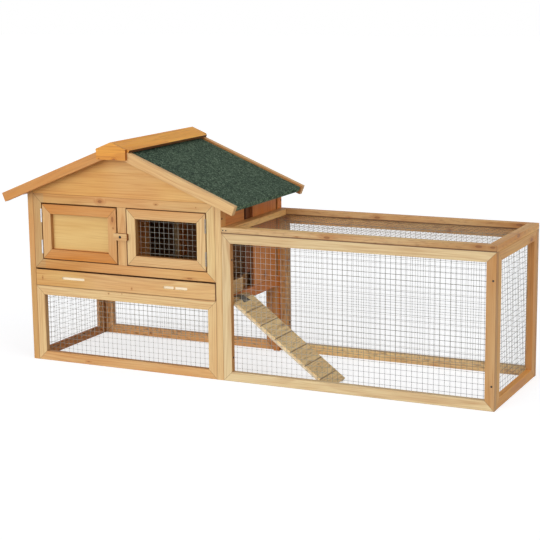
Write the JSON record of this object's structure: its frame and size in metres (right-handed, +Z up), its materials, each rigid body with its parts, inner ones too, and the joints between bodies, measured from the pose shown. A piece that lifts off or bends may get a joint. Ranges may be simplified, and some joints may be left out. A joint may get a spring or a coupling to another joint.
{
  "type": "rabbit hutch with run",
  "caption": "Gabled two-room timber rabbit hutch on legs with hinged doors, a pull-out tray and a ramp down into a long welded mesh run.",
  "frame": {"origin": "Under the middle of the whole object, on the floor it stands on.", "axes": "+X runs along the length from the house to the end of the run, +Y from the front to the back, +Z is up."},
  "size_m": [1.5624, 0.5044, 0.6973],
  "materials": {
    "stained_pine": "satin, honey stained",
    "cap_pine": "satin, deeper orange stain",
    "door_plywood": "satin",
    "ramp_wood": "matte, untreated",
    "roof_felt": "rough mineral felt",
    "galvanised_mesh": "galvanised",
    "hinge_steel": "zinc plated",
    "dark_screws": "blackened",
    "pale_tray": "matte"
  },
  "bodies": {
    "hutch": {"bargeboards_front": "stained_pine", "bargeboards_rear": "stained_pine", "door_mullion": "stained_pine", "doorway_header": "stained_pine", "doorway_sill": "stained_pine", "drawer_runners": "stained_pine", "frame_screws": "dark_screws", "front_left_post": "stained_pine", "front_right_post": "stained_pine", "gable_front": "stained_pine", "gable_rear": "stained_pine", "left_hinge_frame_leaves": "hinge_steel", "lower_back_frame": "stained_pine", "lower_back_mesh": "galvanised_mesh", "lower_front_frame": "stained_pine", "lower_front_mesh": "galvanised_mesh", "lower_left_frame": "stained_pine", "lower_left_mesh": "galvanised_mesh", "ramp_hinge_ledge_leaf": "hinge_steel", "ramp_ledge": "ramp_wood", "rear_left_post": "stained_pine", "rear_right_post": "stained_pine", "ridge_cap_boards": "cap_pine", "ridge_cap_plates": "cap_pine", "right_hinge_frame_leaves": "hinge_steel", "right_side_rail": "stained_pine", "right_wall_lining": "stained_pine", "right_wall_panel": "stained_pine", "roof_board_left": "stained_pine", "roof_board_right": "stained_pine", "roof_felt_left": "roof_felt", "roof_felt_right": "roof_felt", "room_partition": "stained_pine", "run_back_frame": "stained_pine", "run_back_mesh": "galvanised_mesh", "run_end_frame": "stained_pine", "run_end_mesh": "galvanised_mesh", "run_front_frame": "stained_pine", "run_front_mesh": "galvanised_mesh", "run_top_frame": "stained_pine", "run_top_mesh": "galvanised_mesh", "run_top_nails": "dark_screws", "turn_button_screw": "dark_screws", "upper_back_wall": "stained_pine", "upper_front_frame": "stained_pine", "upper_left_wall": "stained_pine"},
    "left_door": {"left_door_frame": "stained_pine", "left_door_panel": "door_plywood", "left_hinge_door_leaves": "hinge_steel"},
    "right_door": {"right_door_frame": "stained_pine", "right_door_mesh": "galvanised_mesh", "right_hinge_door_leaves": "hinge_steel"},
    "turn_button": {"turn_button": "stained_pine"},
    "drawer": {"drawer_front": "stained_pine", "drawer_base": "pale_tray", "drawer_sides": "pale_tray", "drawer_back": "pale_tray"},
    "ramp": {"ramp_planks": "ramp_wood", "ramp_side_strips": "ramp_wood", "ramp_hinge_ramp_leaf": "hinge_steel"}
  },
  "joints": [
    {"name": "left_door_hinge", "type": "hinge", "parent": "hutch", "child": "left_door", "pos_m": [-0.6655, -0.20475, 0.409], "axis": [0, 0, -1], "range_deg": [0, 180]},
    {"name": "right_door_hinge", "type": "hinge", "parent": "hutch", "child": "right_door", "pos_m": [-0.095, -0.20475, 0.409], "axis": [0, 0, 1], "range_deg": [0, 180]},
    {"name": "turn_button_pivot", "type": "hinge", "parent": "hutch", "child": "turn_button", "pos_m": [-0.38025, -0.20805, 0.409], "axis": [0, 1, 0], "range_deg": [-90, 90]},
    {"name": "drawer_slide", "type": "slide", "parent": "hutch", "child": "drawer", "axis": [0, -1, 0], "range_m": [0, 0.3]},
    {"name": "ramp_hinge", "type": "hinge", "parent": "hutch", "child": "ramp", "pos_m": [-0.02025, -0.12375, 0.241], "axis": [0, -1, 0], "range_deg": [0, 60]}
  ]
}
